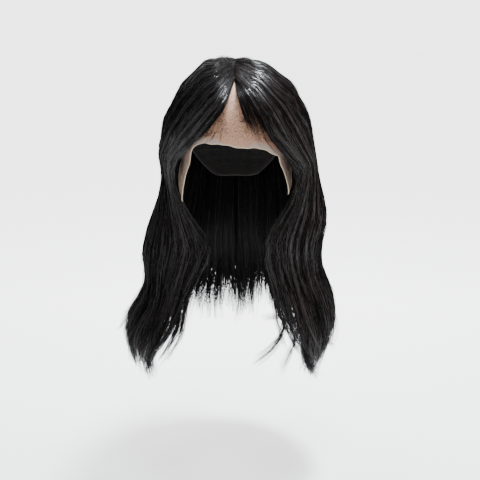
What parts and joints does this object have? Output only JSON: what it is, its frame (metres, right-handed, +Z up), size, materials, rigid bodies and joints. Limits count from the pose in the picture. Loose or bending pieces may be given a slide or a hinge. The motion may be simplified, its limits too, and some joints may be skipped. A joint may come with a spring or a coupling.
{
  "type": "lace front wig",
  "caption": "Long dark layered wig with a centre part and curtain fringe, tied to a sheer lace front and sewn in wefts round a stretch cap.",
  "frame": {"origin": "inside of the crown of the cap, where the wig sits on the top of a head", "axes": "+Z up out of the crown, -Y towards the face opening, +X towards the wearer's left"},
  "size_m": [0.3024, 0.2195, 0.4503],
  "materials": {
    "cap_net": "matt black stretch net",
    "lace": "sheer tan lace with fine dark knots and a pale uncut edge",
    "tied_hair": "off-black hair with a soft sheen",
    "weft_hair": "off-black hair, duller than the upper layer"
  },
  "bodies": {
    "root": {"cap": "cap_net", "lace_front": "lace", "fringe_left": "tied_hair", "fringe_right": "tied_hair", "front_layer_left": "tied_hair", "front_layer_right": "tied_hair", "side_layer_left": "tied_hair", "side_layer_right": "tied_hair", "back_side_layer_left": "tied_hair", "back_side_layer_right": "tied_hair", "back_layer_left": "tied_hair", "back_layer_right": "tied_hair", "front_weft_left": "weft_hair", "front_weft_right": "weft_hair", "side_weft_left": "weft_hair", "side_weft_right": "weft_hair", "back_side_weft_left": "weft_hair", "back_side_weft_right": "weft_hair", "back_weft_left": "weft_hair", "back_weft_right": "weft_hair"}
  },
  "joints": []
}
